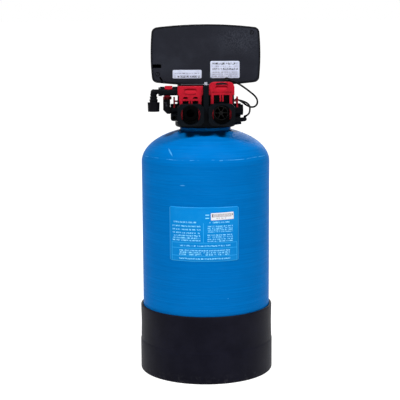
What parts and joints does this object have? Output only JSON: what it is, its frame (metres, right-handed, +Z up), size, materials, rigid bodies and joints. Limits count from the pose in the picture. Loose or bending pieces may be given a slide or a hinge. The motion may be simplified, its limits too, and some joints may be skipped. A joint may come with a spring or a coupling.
{
  "type": "water softener",
  "caption": "Metered water softener: wound pressure vessel in a boot, under a clip-port control valve with drain elbow, flow-meter lead and a boxed control head with display.",
  "frame": {"origin": "on the vessel's axis, at the floor under the boot", "axes": "+Z up along the vessel, -Y towards the pipe ports, +Y towards the display, +X to the right seen from the ports' side"},
  "size_m": [0.241, 0.241, 0.625],
  "materials": {
    "boot_plastic": "satin moulded",
    "tank_blue": "satin wound glass fibre in resin",
    "liner_white": "moulded",
    "resin": "granular",
    "tube_white": "moulded",
    "valve_black": "glass-filled, satin",
    "seal_rubber": "matt",
    "piston_plastic": "smooth",
    "rod_steel": "ground",
    "clip_red": "satin moulded",
    "screw_steel": "zinc plated",
    "lead_black": "satin",
    "tie_white": "nylon",
    "motor_steel": "drawn can",
    "gear_plastic": "acetal",
    "head_black": "fine spark texture",
    "board_green": "solder mask",
    "display_glass": "smooth",
    "window_clear": "clear",
    "button_grey": "matt"
  },
  "bodies": {
    "softener": {"boot": "boot_plastic", "tank_winding": "tank_blue", "tank_liner": "liner_white", "resin_bed": "resin", "riser_tube": "tube_white", "bottom_distributor": "tube_white", "top_distributor": "tube_white", "valve_body": "valve_black", "tank_o_ring": "seal_rubber", "riser_o_ring": "seal_rubber", "piston_seals": "seal_rubber", "seal_spacers": "tube_white", "piston_cap": "valve_black", "drain_flow_washer": "seal_rubber", "injector_housing": "valve_black", "injector_plug": "clip_red", "injector_nozzle": "tube_white", "injector_screws": "screw_steel", "side_cap": "valve_black", "turbine_cage": "tube_white", "sensor_plug": "lead_black", "sensor_lead": "lead_black", "lead_clip": "valve_black", "lead_grommet": "seal_rubber", "cable_tie": "tie_white", "drive_bracket": "valve_black", "motor_plate": "valve_black", "bracket_screws": "screw_steel", "motor": "motor_steel", "front_cover": "head_black", "rear_cover": "head_black", "cover_screws": "screw_steel", "circuit_board": "board_green", "display_module": "display_glass", "display_window": "window_clear"},
    "piston": {"piston": "piston_plastic", "piston_rod": "rod_steel"},
    "inlet_clip": {"inlet_clip": "clip_red"},
    "outlet_clip": {"outlet_clip": "clip_red"},
    "left_side_clip": {"left_side_clip": "clip_red"},
    "right_side_clip": {"right_side_clip": "clip_red"},
    "drain_clip": {"drain_clip": "clip_red"},
    "drain_elbow": {"drain_elbow": "valve_black", "drain_o_ring": "seal_rubber"},
    "drain_nut": {"drain_nut": "valve_black"},
    "turbine": {"turbine": "tube_white"},
    "motor_pinion": {"motor_pinion": "gear_plastic"},
    "reduction_gear": {"reduction_gear": "gear_plastic"},
    "drive_gear": {"drive_gear": "gear_plastic"},
    "set_button": {"set_button": "button_grey"},
    "down_button": {"down_button": "button_grey"},
    "up_button": {"up_button": "button_grey"},
    "regenerate_button": {"regenerate_button": "button_grey"}
  },
  "joints": [
    {"name": "inlet_clip_pull", "type": "slide", "parent": "softener", "child": "inlet_clip", "axis": [0, 0, 1], "range_m": [0, 0.035]},
    {"name": "outlet_clip_pull", "type": "slide", "parent": "softener", "child": "outlet_clip", "axis": [0, 0, 1], "range_m": [0, 0.035]},
    {"name": "left_side_clip_pull", "type": "slide", "parent": "softener", "child": "left_side_clip", "axis": [0, 0, 1], "range_m": [0, 0.018]},
    {"name": "right_side_clip_pull", "type": "slide", "parent": "softener", "child": "right_side_clip", "axis": [0, 0, 1], "range_m": [0, 0.018]},
    {"name": "drain_clip_pull", "type": "slide", "parent": "softener", "child": "drain_clip", "axis": [0, 0, 1], "range_m": [0, 0.012]},
    {"name": "drain_elbow_swivel", "type": "hinge", "parent": "softener", "child": "drain_elbow", "pos_m": [-0.0914, -0.0483, 0.509], "axis": [1, 0, 0], "range_deg": [-90, 90]},
    {"name": "drain_nut_turn", "type": "hinge", "parent": "drain_elbow", "child": "drain_nut", "pos_m": [-0.0914, -0.0483, 0.4825], "axis": [0, 0, 1], "continuous": true},
    {"name": "turbine_spin", "type": "hinge", "parent": "softener", "child": "turbine", "pos_m": [0.0271, -0.03, 0.47], "axis": [0, -1, 0], "continuous": true},
    {"name": "drive_gear_turn", "type": "hinge", "parent": "softener", "child": "drive_gear", "pos_m": [0, 0, 0.54], "axis": [0, 0, 1], "range_deg": [0, 720]},
    {"name": "reduction_gear_turn", "type": "hinge", "parent": "softener", "child": "reduction_gear", "pos_m": [-0.03875, 0, 0.542], "axis": [0, 0, 1], "range_deg": [-3000.5, 0]},
    {"name": "motor_pinion_turn", "type": "hinge", "parent": "softener", "child": "motor_pinion", "pos_m": [-0.06875, 0, 0.548], "axis": [0, 0, 1], "range_deg": [0, 9000.5]},
    {"name": "piston_lift", "type": "slide", "parent": "softener", "child": "piston", "axis": [0, 0, 1], "range_m": [0, 0.02]},
    {"name": "set_button_press", "type": "slide", "parent": "softener", "child": "set_button", "axis": [0, -1, 0], "range_m": [0, 0.001], "stiffness_N_per_m": 800, "springref_m": -0.0003},
    {"name": "down_button_press", "type": "slide", "parent": "softener", "child": "down_button", "axis": [0, -1, 0], "range_m": [0, 0.001], "stiffness_N_per_m": 800, "springref_m": -0.0003},
    {"name": "up_button_press", "type": "slide", "parent": "softener", "child": "up_button", "axis": [0, -1, 0], "range_m": [0, 0.001], "stiffness_N_per_m": 800, "springref_m": -0.0003},
    {"name": "regenerate_button_press", "type": "slide", "parent": "softener", "child": "regenerate_button", "axis": [0, -1, 0], "range_m": [0, 0.001], "stiffness_N_per_m": 800, "springref_m": -0.0003}
  ],
  "couplings": [
    {"joint": "reduction_gear_turn", "follows": "drive_gear_turn", "ratio": -4.1667},
    {"joint": "motor_pinion_turn", "follows": "drive_gear_turn", "ratio": 12.5},
    {"joint": "piston_lift", "follows": "drive_gear_turn", "m_per_rad": 0.00159}
  ]
}
